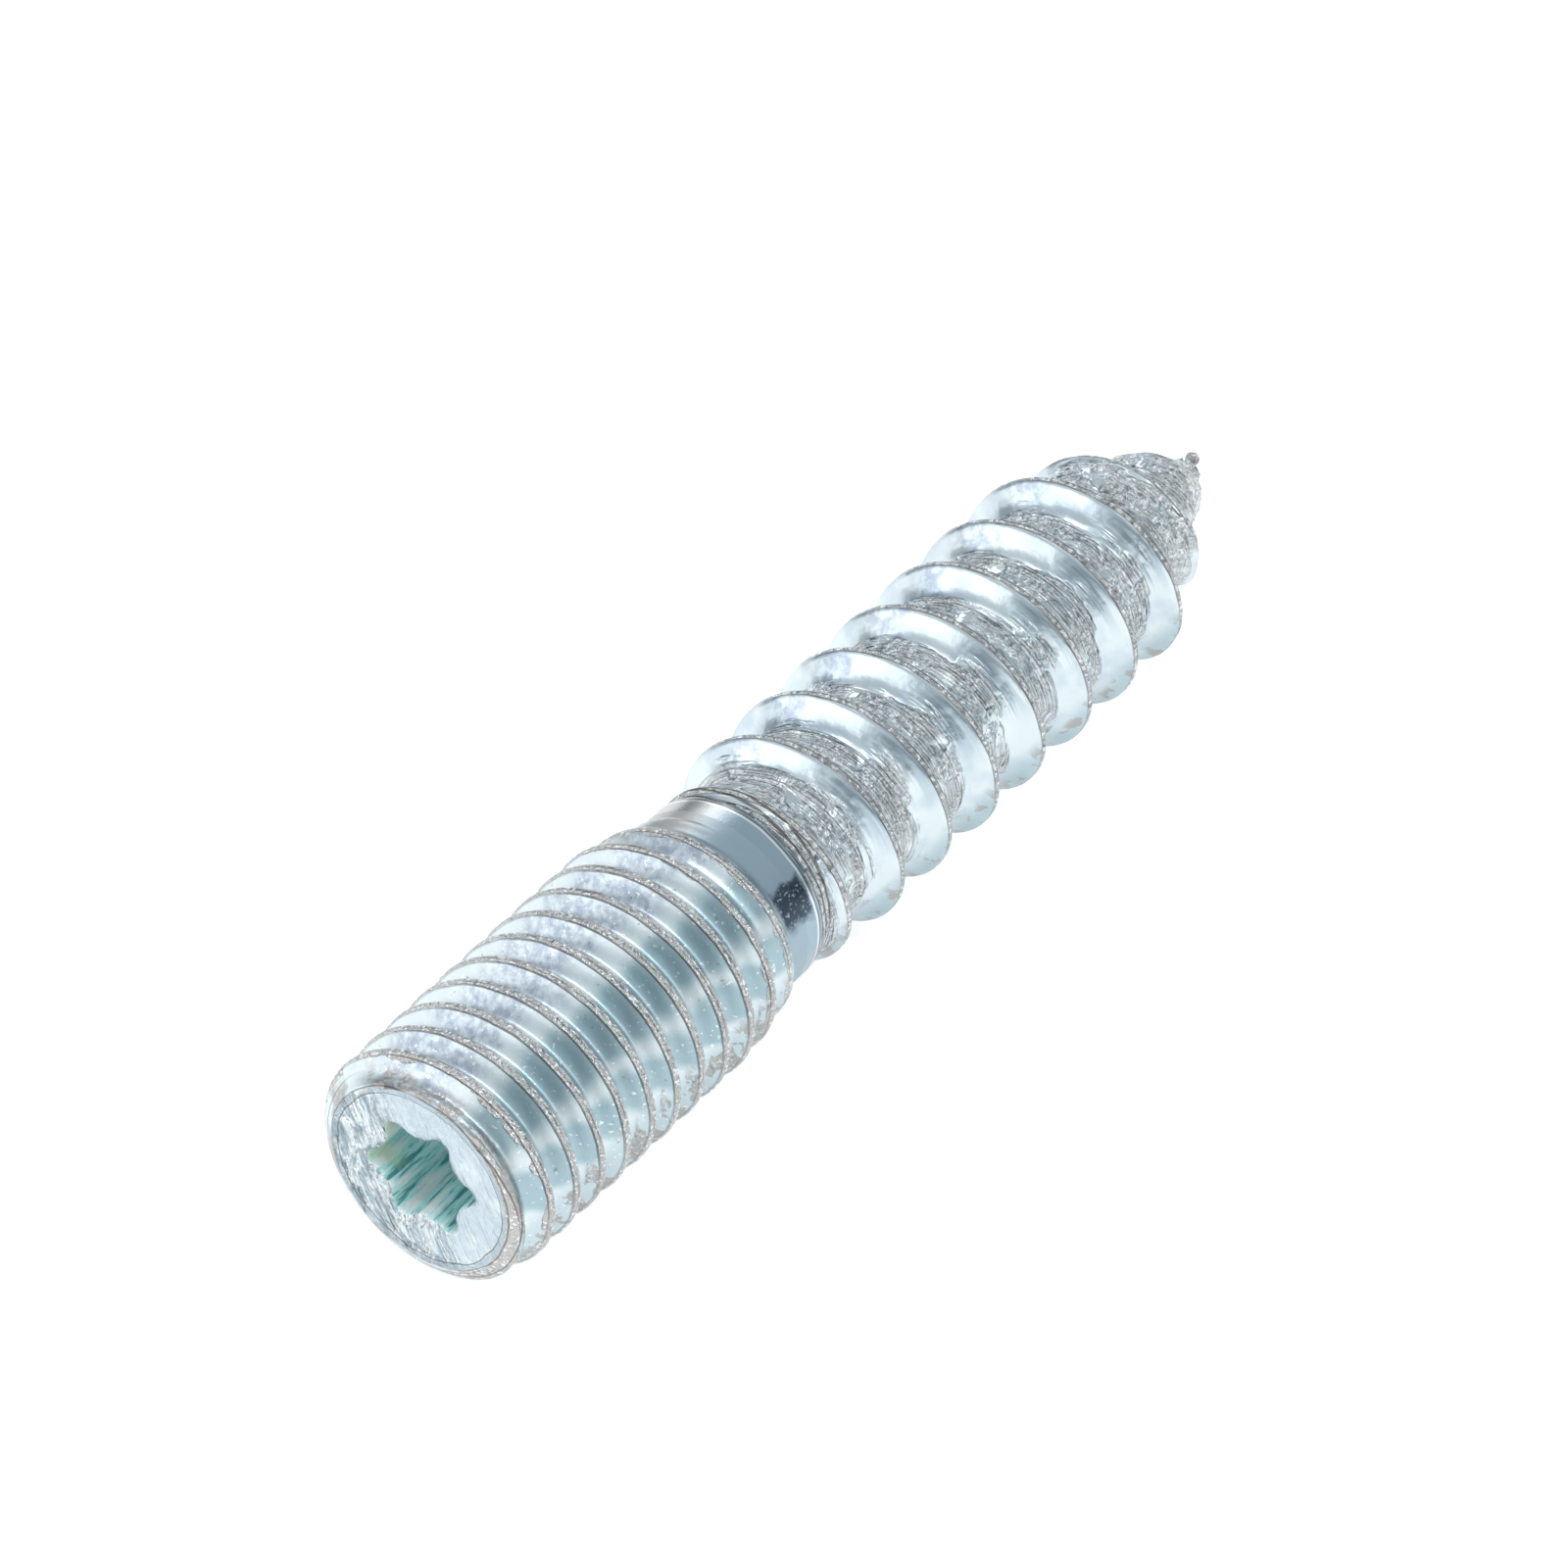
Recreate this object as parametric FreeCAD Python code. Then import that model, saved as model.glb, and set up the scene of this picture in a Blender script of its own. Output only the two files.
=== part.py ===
import FreeCAD, Part
import math
import os
from FreeCAD import Vector

os.makedirs("parts", exist_ok=True)

# A hanger bolt: machine thread and drive recess at one end, wood thread and point at the other.
# It is modelled standing on its machine end, heights counted from that end face, and is laid
# on its side at the last step. All sizes are in millimetres.

# Driving sizes
nominal_length = 40.0
machine_major_diameter = 8.0
machine_pitch = 1.25
machine_thread_depth = 0.62
machine_crest_width = 0.17
machine_flank_angle = 30.0

wood_major_diameter = 7.4
wood_core_diameter = 5.7
wood_pitch = 2.5
wood_crest_width = 0.25
wood_flank_angle = 35.0

collar_diameter = 6.6
collar_middle = 15.4
collar_width = 0.8
machine_run_out = 3.2
wood_run_in = 2.3
point_length = 5.8
nub_radius = 0.23
nub_height = 0.75

end_face_diameter = 6.4
rim_height = 0.65
recess_across_lobes = 3.95
recess_across_flutes = 2.97
recess_lobe_radius = 0.38
recess_depth = 2.8

# Angles about the bolt, seen from the point end and counted from +Y towards +Z once it lies:
# where each ridge would meet the end face's plane, and where the first lobe stands
machine_start_angle = 170.9
wood_start_angle = 262.2
recess_angle = -5.0

# Each turn of a thread is built in sectors; the shift puts a flat of the mesh straight down
sector = 45.0
sector_shift = -92.8125

major = machine_major_diameter / 2
machine_root = major - machine_thread_depth
wood_major = wood_major_diameter / 2
wood_core = wood_core_diameter / 2
collar = collar_diameter / 2
sunk = collar - 0.4
overall_length = nominal_length + nub_height
point_start = nominal_length - point_length
point_end = overall_length - 1.75 * nub_radius


def eased(stations, height):
    """Radius at a height, on a smooth line through a few (height, radius) stations."""
    if height <= stations[0][0]:
        return stations[0][1]
    if height >= stations[-1][0]:
        return stations[-1][1]
    rises = [(r1 - r0) / (z1 - z0) for (z0, r0), (z1, r1) in zip(stations, stations[1:])]
    slopes = [0.0]
    for before, after in zip(rises, rises[1:]):
        level = before * after <= 0
        slopes.append(0.0 if level else 2 * before * after / (before + after))
    slopes.append(rises[-1])
    k = 0
    while height > stations[k + 1][0]:
        k += 1
    (low, start), (high, end) = stations[k], stations[k + 1]
    span = high - low
    u = (height - low) / span
    bend = (slopes[k] * (1 - u) - slopes[k + 1] * u) * span * u * (1 - u)
    return start + (end - start) * (3 - 2 * u) * u * u + bend


def valley(pitch, crest_width, depth, angle, steep):
    """Half a valley as (place, drop) pairs: crest's edge, foot of the steep flank, its middle."""
    foot = crest_width / 2 + steep * depth * math.tan(math.radians(angle))
    return [(crest_width / 2, 0.0), (foot, steep * depth), (pitch / 2, depth)]


run_out_end = collar_middle - collar_width / 2
run_out_start = run_out_end - machine_run_out
machine_valley = valley(
    machine_pitch, machine_crest_width, machine_thread_depth, machine_flank_angle, 0.6
)
machine = {
    "pitch": machine_pitch,
    "angle": machine_start_angle,
    "low": -1.8 * machine_pitch,
    "high": run_out_end + 1.1 * machine_pitch,
    "depth": machine_thread_depth,
    "outline": machine_valley,
    "crest line": [
        (run_out_start, major),
        (run_out_start + 0.40 * machine_run_out, 0.70 * major + 0.30 * collar),
        (run_out_start + 0.75 * machine_run_out, 0.35 * major + 0.65 * collar),
        (run_out_end, sunk),
    ],
    "root line": [
        (run_out_end - 0.45 * machine_run_out, machine_root),
        (run_out_end, sunk),
    ],
}

run_in_start = collar_middle + collar_width / 2
wood_depth = wood_major - wood_core
wood_valley = valley(wood_pitch, wood_crest_width, wood_depth, wood_flank_angle, 1.0)[:2]
wood = {
    "pitch": wood_pitch,
    "angle": wood_start_angle,
    "low": run_in_start - 1.3 * wood_pitch,
    "high": nominal_length + 1.2 * wood_pitch,
    "depth": wood_depth,
    "outline": wood_valley,
    "crest line": [
        (run_in_start - 0.3, sunk),
        (run_in_start + 0.20 * wood_run_in, collar + 0.1),
        (run_in_start + 0.75 * wood_run_in, 0.5 * (collar + 0.1 + wood_major)),
        (run_in_start + 1.20 * wood_run_in, wood_major),
        (point_start, wood_major),
        (point_start + 0.30 * point_length, 0.84 * wood_major),
        (point_start + 0.57 * point_length, 0.63 * wood_major),
        (point_start + 0.78 * point_length, 0.43 * wood_major),
        (point_start + 0.93 * point_length, 0.26 * wood_major),
        (point_start + 1.01 * point_length, 0.18 * wood_major),
        (point_end, nub_radius),
        (nominal_length + wood_pitch, 0.5 * nub_radius),
    ],
    "root line": [
        (point_start - 0.22 * point_length, wood_core),
        (point_start + 0.12 * point_length, 0.84 * wood_core),
        (point_start + 0.47 * point_length, 0.61 * wood_core),
        (point_start + 0.71 * point_length, 0.50 * wood_core),
        (point_start + 0.85 * point_length, 0.39 * wood_core),
        (point_start + 0.93 * point_length, 0.27 * wood_core),
        (point_start + 1.01 * point_length, 0.17 * wood_core),
        (point_end, 0.8 * nub_radius),
        (nominal_length + wood_pitch, 0.4 * nub_radius),
    ],
}


def drop(thread, s):
    """Depth of the thread's surface below its crest, s along the bolt from the crest's middle."""
    s = min(abs(s), thread["pitch"] - abs(s))
    outline = thread["outline"]
    if s <= outline[0][0]:
        return 0.0
    for (s0, drop0), (s1, drop1) in zip(outline, outline[1:]):
        if s <= s1:
            return drop0 + (drop1 - drop0) * (s - s0) / (s1 - s0)
    return thread["depth"]


def bands(thread):
    """Strips across one pitch, from the lower edge of a crest to the next one."""
    falling = [s for s, depth in thread["outline"]]
    rising = [thread["pitch"] - s for s in reversed(falling)]
    if rising[0] - falling[-1] < 1e-6:
        rising = rising[1:]
    places = [-falling[0]] + falling + rising
    return list(zip(places, places[1:]))


def first_height(thread):
    """Height of the crest's middle where the thread's first sector begins."""
    base = thread["pitch"] * (sector_shift - thread["angle"]) / 360
    turns = math.ceil((thread["low"] - base) / thread["pitch"])
    return base + turns * thread["pitch"]


def skin(thread, angle, s):
    """Point of the thread's surface, at an angle past its beginning and s past its crest."""
    height = first_height(thread) + thread["pitch"] * angle / 360 + s
    crest = eased(thread["crest line"], height)
    root = eased(thread["root line"], height)
    radius = crest - (crest - root) * drop(thread, s) / thread["depth"]
    turned = math.radians(sector_shift + angle)
    return Vector(radius * math.cos(turned), radius * math.sin(turned), height)


def rail(thread, s, start):
    """Edge along one sector of the thread at a constant s, as one cubic curve."""
    nudge = 0.01
    handle = 4 / 3 * math.tan(math.radians(sector / 4)) / math.radians(2 * nudge)
    ends, slopes = [], []
    for angle in (start, start + sector):
        ends.append(skin(thread, angle, s))
        slope = skin(thread, angle + nudge, s) - skin(thread, angle - nudge, s)
        slopes.append(slope * handle)
    line = Part.BezierCurve()
    line.setPoles([ends[0], ends[0] + slopes[0], ends[1] - slopes[1], ends[1]])
    return line.toShape()


def band_face(thread, band, start):
    """One sector of one band; a crest of constant radius is a true piece of a cylinder."""
    low, high = rail(thread, band[0], start), rail(thread, band[1], start)
    strip = Part.makeRuledSurface(low, high)
    radii = [math.hypot(v.X, v.Y) for v in strip.Vertexes]
    if band[0] > 0 or max(radii) - min(radii) > 1e-9:
        return strip
    cylinder = Part.Cylinder()
    cylinder.Radius = radii[0]
    face = Part.Face(cylinder, Part.Wire(Part.__sortEdges__(strip.Edges)))
    face.validate()
    return face


def end_faces(thread, start):
    """Spiral floor that closes the thread, over one turn from the angle start."""
    faces = []
    low_edge = bands(thread)[0][0]
    for k in range(int(360 / sector)):
        edge = rail(thread, low_edge, start + sector * k)
        low, high = edge.Vertexes[0].Z, edge.Vertexes[-1].Z
        axis = Part.makeLine(Vector(0, 0, low), Vector(0, 0, high))
        faces.append(Part.makeRuledSurface(edge, axis))
    outline = [skin(thread, start, band[0]) for band in bands(thread)]
    outline.append(skin(thread, start, low_edge + thread["pitch"]))
    outline.append(Vector(0, 0, outline[-1].z))
    outline.append(Vector(0, 0, outline[0].z))
    faces.append(Part.Face(Part.makePolygon(outline + outline[:1])))
    return faces


def thread_solid(thread):
    """Solid of a thread with its core, between its low and its high end."""
    turns = (thread["high"] - first_height(thread)) / thread["pitch"] - 1
    count = int(turns * 360 / sector)
    faces = end_faces(thread, 0.0) + end_faces(thread, sector * count)
    for k in range(count):
        for band in bands(thread):
            faces.append(band_face(thread, band, sector * k))
    shell = Part.Compound(faces)
    shell.sewShape(1e-3)
    solid = Part.Solid(shell.Shells[0])
    if solid.Volume < 0:
        solid.reverse()
    return solid


def turned(points):
    """Solid turned about the bolt's axis from the (radius, height) points of a half profile."""
    corners = [Vector(radius, 0, height) for radius, height in points]
    face = Part.Face(Part.makePolygon(corners))
    return face.revolve(Vector(0, 0, 0), Vector(0, 0, 1), 360)


def collar_solid():
    """Smooth collar between the threads, with the neck that sinks into the wood thread."""
    low = run_out_start - 0.5
    profile = [
        (0.0, low),
        (collar, low),
        (collar, run_in_start),
        (collar - 0.12, run_in_start + 0.35),
        (wood_core - 0.1, run_in_start + 0.85 * wood_run_in),
        (0.0, run_in_start + 0.85 * wood_run_in),
        (0.0, low),
    ]
    return turned(profile)


def rim_solid():
    """Blank with the worn rim of the end face, wider than the thread above it."""
    face_radius = end_face_diameter / 2
    side = major - face_radius
    outer = major + 0.5
    profile = [
        (0.0, 0.0),
        (face_radius, 0.0),
        (face_radius + 0.70 * side, 0.40 * rim_height),
        (major, rim_height),
        (outer, rim_height + 0.1),
        (outer, run_in_start),
        (0.0, run_in_start),
        (0.0, 0.0),
    ]
    return turned(profile)


def recess_solid():
    """Six-lobe drive recess with a flat floor."""
    lobe = recess_lobe_radius
    lobe_centre = recess_across_lobes / 2 - lobe
    inner = recess_across_flutes / 2
    spread = math.sqrt(3) * lobe_centre
    flute = (lobe ** 2 - lobe_centre ** 2 - inner ** 2 + spread * inner)
    flute /= 2 * inner - spread - 2 * lobe
    flute_centre = inner + flute

    def at(radius, degrees):
        turn = math.radians(degrees)
        return Vector(radius * math.cos(turn), radius * math.sin(turn), 0)

    def touch(lobe_angle, flute_angle):
        start = at(lobe_centre, lobe_angle)
        towards = at(flute_centre, flute_angle) - start
        return start + towards.normalize() * lobe

    edges = []
    for k in range(6):
        angle = recess_angle + 60 * k
        before = touch(angle, angle - 30)
        after = touch(angle, angle + 30)
        following = touch(angle + 60, angle + 30)
        tip = at(recess_across_lobes / 2, angle)
        edges.append(Part.Arc(before, tip, after).toShape())
        edges.append(Part.Arc(after, at(inner, angle + 30), following).toShape())
    return Part.Face(Part.Wire(edges)).extrude(Vector(0, 0, recess_depth))


def nub_solid():
    """Small blunt nub at the very point."""
    profile = [
        (0.0, point_end),
        (0.85 * nub_radius, point_end),
        (nub_radius, overall_length - 1.2 * nub_radius),
        (nub_radius, overall_length - 0.6 * nub_radius),
        (0.5 * nub_radius, overall_length),
        (0.0, overall_length),
        (0.0, point_end),
    ]
    return turned(profile)


machine_end = thread_solid(machine).common(rim_solid())
wood_end = thread_solid(wood)
above = Part.makeBox(8, 8, 8, Vector(-4, -4, point_end))
wood_end = wood_end.cut(above).fuse(nub_solid())
bolt = wood_end.fuse(collar_solid()).fuse(machine_end).cut(recess_solid())

# Laid on its side: the axis along +X with the point towards +X, the crests touching z = 0
lay = FreeCAD.Matrix(0, 0, 1, -overall_length / 2, 1, 0, 0, 0, 0, 1, 0, major, 0, 0, 0, 1)
bolt = Part.Solid(bolt.Solids[0])
bolt.Placement = FreeCAD.Placement(lay)
bolt.exportStep("parts/hanger_bolt.step")
print("hanger_bolt", bolt.isValid(), len(bolt.Faces), bolt.BoundBox)
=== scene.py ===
import bmesh
import bpy
import math
from mathutils import Matrix, Vector, noise


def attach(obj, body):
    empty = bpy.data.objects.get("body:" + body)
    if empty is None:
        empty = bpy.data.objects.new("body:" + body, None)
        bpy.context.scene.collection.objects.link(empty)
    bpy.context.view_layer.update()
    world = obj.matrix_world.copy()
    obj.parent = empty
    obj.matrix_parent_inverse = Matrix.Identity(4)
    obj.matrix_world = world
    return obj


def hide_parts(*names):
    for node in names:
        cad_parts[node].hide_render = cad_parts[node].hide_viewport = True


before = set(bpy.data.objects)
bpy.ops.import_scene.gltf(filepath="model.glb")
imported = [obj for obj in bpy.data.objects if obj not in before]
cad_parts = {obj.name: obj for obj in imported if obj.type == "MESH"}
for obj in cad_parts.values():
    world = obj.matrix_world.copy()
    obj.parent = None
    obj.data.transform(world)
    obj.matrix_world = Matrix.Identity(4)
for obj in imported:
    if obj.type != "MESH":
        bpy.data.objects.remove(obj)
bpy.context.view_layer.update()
print("frame loaded")

# The bolt is shaped in millimetres, t along it from the machine end, and made metres at the end
perMetre = 1000

bolt = {
    "length": 40.75,
    "axisHeight": 4.0,
    "collarRadius": 3.3,
    "machineJoin": 15.05,  # where each thread's skin is cut, for the collar between them
    "woodJoin": 15.62,
    "tipJoin": 40.05,
    "seamAngle": -92.0,  # where one turn of a thread's skin meets the next, under the bolt
    "weld": 1e-4,  # points closer than this are made one
    "collarOver": 0.25,  # how far the collar's finish goes on past its end
}

machineThread = {
    "pitch": 1.25,
    "startAngle": 170.9,  # where the crest would meet the end face's plane, from +Y to +Z
    "fromHeight": -2.3,
    "toHeight": 16.6,
    "steps": 160,
    "crestLine": [(11.8, 4.0), (13.08, 3.79), (14.2, 3.545), (15.0, 3.0)],
    "rootLine": [(13.56, 3.38), (15.0, 3.0)],
    # distance from the crest's middle, and share of the depth there
    "nearSide": [(0.0, 0.04), (0.04, 0.01), (0.07, 0.0), (0.10, 0.03), (0.13, 0.09), (0.2, 0.245),
                 (0.28, 0.44), (0.36, 0.63), (0.44, 0.79), (0.52, 0.91), (0.58, 0.97), (0.625, 1.0)],
    "farSide": [(0.0, 0.04), (0.04, 0.01), (0.07, 0.0), (0.10, 0.03), (0.14, 0.14),
                (0.24, 0.46), (0.36, 0.76), (0.5, 0.95), (0.625, 1.0)],
    # the worn rim
    "rimLine": [(0.0, 3.2), (0.05, 3.32), (0.14, 3.49), (0.26, 3.70), (0.45, 3.90),
                (0.65, 4.0), (0.8, 4.1), (0.9, 4.2)],
    "rimFillet": 0.10,
    "sinksFrom": 12.5,  # where the ridges start to sink into the collar
    "collarFillet": 0.05,
    # waves in the surface: height, scale along, scale around and seed
    "crestWaves": [(0.010, 1.1, 0.9, 0.0), (0.008, 6.0, 2.2, 5.0)],
    "allWaves": [(0.004, 5.0, 1.4, 9.0)],
}

woodThread = {
    "pitch": 2.5,
    "startAngle": 262.2,
    "fromHeight": 11.4,
    "toHeight": 42.0,
    "steps": 144,
    "crestLine": [(15.5, 2.9), (16.26, 3.4), (17.53, 3.55), (18.56, 3.7), (34.2, 3.7),
                  (35.94, 3.108), (37.5, 2.33), (38.72, 1.59), (39.6, 0.92), (40.06, 0.58),
                  (40.35, 0.24), (42.5, 0.12)],
    "rootLine": [(15.5, 2.9), (17.75, 2.85), (32.92, 2.85), (34.9, 2.394), (36.93, 1.74),
                 (38.32, 1.425), (39.13, 1.11), (39.6, 0.77), (40.06, 0.485), (40.35, 0.2),
                 (42.5, 0.1)],
    "nearSide": [(0.0, 0.05), (0.05, 0.01), (0.085, 0.0), (0.125, 0.02), (0.2, 0.14),
                 (0.32, 0.36), (0.45, 0.58), (0.6, 0.79), (0.75, 0.91), (0.87, 0.955),
                 (0.93, 0.93), (0.98, 0.99), (1.08, 1.0), (1.25, 1.0)],
    "farSide": [(0.0, 0.05), (0.05, 0.01), (0.085, 0.0), (0.125, 0.02), (0.2, 0.12),
                (0.32, 0.34), (0.45, 0.58), (0.6, 0.84), (0.72, 0.97), (0.9, 1.0),
                (1.08, 1.0), (1.25, 1.0)],
    # the collar's end, which the first turn rises out of
    "neckLine": [(15.5, 3.3), (15.8, 3.3), (16.0, 3.2), (16.5, 3.16), (17.2, 2.95),
                 (17.9, 2.6), (19.0, 2.2)],
    "neckFillet": 0.06,
    "neckRidges": (15.9, 16.8),  # fine ridges left on the neck by the rolling
    "ridgePitch": 0.22,
    "ridgeDepth": 0.02,
    "thinnest": 0.2,
    "roughFrom": 0.88,  # share of the depth where the rough root starts
    "roughOver": 0.1,
    "pointLine": [(33.0, 0.0), (38.0, 1.0), (40.0, 1.0)],  # how rough the point is
    "pointRough": 0.75,
    "rootWaves": [(0.030, 5.5, 1.9, 3.0), (0.022, 11.0, 5.0, 7.0)],
    "crestWaves": [(0.012, 4.0, 1.2, 2.0)],
    "allWaves": [(0.010, 1.2, 0.8, 8.0)],
    "pointWaves": [(0.08, 2.2, 2.0, 4.0)],
}


def easedAt(stations, place):
    # smooth line through a few (place, value) stations, level at its turning points
    if place <= stations[0][0]:
        return stations[0][1]
    if place >= stations[-1][0]:
        return stations[-1][1]
    rises = [(b[1] - a[1]) / (b[0] - a[0]) for a, b in zip(stations, stations[1:])]
    k = 0
    while place > stations[k + 1][0]:
        k += 1
    slopes = []
    for j in (k, k + 1):
        if j == 0 or j == len(rises):
            slopes.append(rises[-1] if j else 0.0)
        elif rises[j - 1] * rises[j] <= 0:
            slopes.append(0.0)
        else:
            slopes.append(2 * rises[j - 1] * rises[j] / (rises[j - 1] + rises[j]))
    span = stations[k + 1][0] - stations[k][0]
    u = (place - stations[k][0]) / span
    bend = (slopes[0] * (1 - u) - slopes[1] * u) * span * u * (1 - u)
    return stations[k][1] + (stations[k + 1][1] - stations[k][1]) * (3 - 2 * u) * u * u + bend


def softMax(a, b, width):
    # the larger of two, with a small fillet where they cross
    if abs(a - b) >= width:
        return max(a, b)
    return max(a, b) + (width - abs(a - b)) ** 2 / (4 * width)


def softMin(a, b, width):
    return -softMax(-a, -b, width)


def waves(point, rows):
    # lumps in the surface, drawn out round the bolt
    total = 0.0
    for height, along, across, seed in rows:
        place = Vector((point.x * along + seed, point.y * across, point.z * across))
        total += height * noise.noise(place)
    return total


def polar(point):
    # height along the bolt, angle about it and radius
    y, z = point.y, point.z
    return point.x, math.atan2(z, y), math.hypot(y, z)


def around(height, radius, angle):
    # the point that polar gives these three for
    return Vector((height, radius * math.cos(angle), radius * math.sin(angle)))


def setRadius(vert, radius):
    scale = radius / max(math.hypot(vert.co.y, vert.co.z), 1e-9)
    vert.co.y *= scale
    vert.co.z *= scale


def shareAt(thread, s):
    # share of the depth at s past the crest's middle, negative towards the machine end
    side = thread["farSide"] if s > 0 else thread["nearSide"]
    return easedAt(side, abs(s))


def machineRadius(point, s):
    t = point.x
    crest = easedAt(machineThread["crestLine"], t)
    root = easedAt(machineThread["rootLine"], t)
    share = shareAt(machineThread, s)
    radius = crest - (crest - root) * share
    radius += waves(point, machineThread["crestWaves"]) * (1 - share)
    radius += waves(point, machineThread["allWaves"])
    if t > machineThread["sinksFrom"]:
        radius = softMax(radius, bolt["collarRadius"], machineThread["collarFillet"])
    if t < machineThread["rimLine"][-1][0]:
        rim = easedAt(machineThread["rimLine"], t)
        radius = softMin(radius, rim, machineThread["rimFillet"])
    return radius


def neckRadius(t):
    radius = easedAt(woodThread["neckLine"], t)
    first, last = woodThread["neckRidges"]
    if first < t < last:
        swing = math.cos(2 * math.pi * t / woodThread["ridgePitch"])
        radius -= woodThread["ridgeDepth"] * (0.5 + 0.5 * swing)
    return radius


def woodRadius(point, s):
    t = point.x
    crest = easedAt(woodThread["crestLine"], t)
    root = easedAt(woodThread["rootLine"], t)
    share = shareAt(woodThread, s)
    radius = crest - (crest - root) * share
    atPoint = easedAt(woodThread["pointLine"], t)
    rough = max(0.0, min(1.0, (share - woodThread["roughFrom"]) / woodThread["roughOver"]))
    rough = max(rough, woodThread["pointRough"] * atPoint)
    radius += waves(point, woodThread["rootWaves"]) * rough
    radius += waves(point, woodThread["crestWaves"]) * (1 - share)
    radius += waves(point, woodThread["allWaves"])
    radius += waves(point, woodThread["pointWaves"]) * atPoint * min(1.0, crest)
    if t < woodThread["neckLine"][-1][0]:
        radius = softMax(radius, neckRadius(t), woodThread["neckFillet"])
    return max(radius, woodThread["thinnest"])


def threadSkin(name, thread, radiusAt):
    # one pitch of profile, spun along a helix, then drawn in to its radii
    pitch, steps = thread["pitch"], thread["steps"]
    bm = bmesh.new()
    place = bm.verts.layers.float.new("place")
    uvMap = bm.loops.layers.uv.new("along")
    offsets = [-station[0] for station in reversed(thread["nearSide"])]
    offsets += [station[0] for station in thread["farSide"][1:]]
    start = math.radians(bolt["seamAngle"])
    turnsIn = (bolt["seamAngle"] - thread["startAngle"]) / 360
    first = pitch * (turnsIn + math.ceil(thread["fromHeight"] / pitch - turnsIn))
    row = []
    for s in offsets:
        vert = bm.verts.new((first + s, math.cos(start), math.sin(start)))
        vert[place] = s
        row.append(vert)
    edges = [bm.edges.new(pair) for pair in zip(row, row[1:])]
    bmesh.ops.spin(bm, geom=row + edges, cent=(0, 0, 0), axis=(1, 0, 0),
                   dvec=(pitch / steps, 0, 0), angle=2 * math.pi, steps=steps,
                   use_merge=False, use_normal_flip=False, use_duplicate=False)
    oneTurn = bm.verts[:] + bm.edges[:] + bm.faces[:]
    for k in range(1, math.ceil((thread["toHeight"] - first) / pitch)):
        copied = bmesh.ops.duplicate(bm, geom=oneTurn)["geom"]
        verts = [g for g in copied if isinstance(g, bmesh.types.BMVert)]
        bmesh.ops.translate(bm, vec=(pitch * k, 0, 0), verts=verts)
    # the unrolled map: turns along the thread, and millimetres from its crest
    for face in bm.faces:
        for loop in face.loops:
            point, s = loop.vert.co, loop.vert[place]
            loop[uvMap].uv = ((point.x - s) / pitch, s)
    # both rims of the sheet meet along the helix, and take the same radius
    half = pitch / 2
    shaped = {}
    for vert in bm.verts:
        s = vert[place]
        shaped[vert] = radiusAt(vert.co, -half if s > half - bolt["weld"] else s)
    for vert, radius in shaped.items():
        setRadius(vert, radius)
    bmesh.ops.remove_doubles(bm, verts=bm.verts, dist=bolt["weld"])
    print(name, "skin", len(bm.faces), "faces")
    return bm


def cutAt(bm, height, above):
    geom = bm.verts[:] + bm.edges[:] + bm.faces[:]
    bmesh.ops.bisect_plane(bm, geom=geom, dist=1e-5, plane_co=(height, 0, 0),
                           plane_no=(1, 0, 0), clear_outer=above, clear_inner=not above)


def rimEdges(bm, height):
    return [e for e in bm.edges if e.is_boundary
            and all(abs(v.co.x - height) < 1e-3 for v in e.verts)]


def joined(first, second):
    # both skins in one mesh
    held = bpy.data.meshes.new("held")
    second.to_mesh(held)
    first.from_mesh(held)
    bpy.data.meshes.remove(held)
    second.free()
    return first


def stepIn(bm, edges, shape):
    # one more ring on a rim, put where shape says
    grown = bmesh.ops.extrude_edge_only(bm, edges=edges)["geom"]
    verts = [g for g in grown if isinstance(g, bmesh.types.BMVert)]
    for vert in verts:
        vert.co = shape(vert.co)
    return [g for g in grown if isinstance(g, bmesh.types.BMEdge) and g.is_boundary]


endFace = {
    "radius": 3.2,
    "rings": 15,
    # what the shear left: streaks, low lumps, a groove inside the rim and a hollow at the recess
    "streaks": 0.04,
    "acrossStreaks": (3.2, 1.6),  # how fast they change in Y and in Z, across and along
    "alongStreaks": (-0.9, 0.7),
    "lumps": 0.03,
    "lumpScale": 0.9,
    "lumpSeed": 4.0,
    "lumpLift": 0.6,
    "rise": 3.0,  # how fast all of it grows, inwards from the rim
    "groove": 0.06,
    "grooveRadius": 2.98,
    "grooveWidth": 0.09,
    "hollow": 0.07,
    "hollowShare": 0.12,
    "acrossLobes": 3.95,
    "acrossFlutes": 2.97,
    "lobeRadius": 0.38,
    "lobeAngle": -5.0,
    "lipGap": 0.02,
    "lipDepth": 0.1,
    "recessDepth": 2.8,
    "recessTaper": 0.04,
    "recessWaves": 0.035,
    "wavesDown": 0.35,
    "wavesRound": 7,
    "recessRings": 12,
    "ringSpacing": 1.3,  # above 1, the rings lie closer near the lip
    "floorRings": (0.7, 0.6, 0.5, 0.4),  # how much each ring of the floor shrinks the last
    "floorFall": 0.08,
    # how far the finishes of the face and the recess go
    "faceMargin": 0.01,
    "faceDepth": 0.16,
    "recessMargin": 0.03,
    "recessEnd": 4.0,
}


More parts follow.
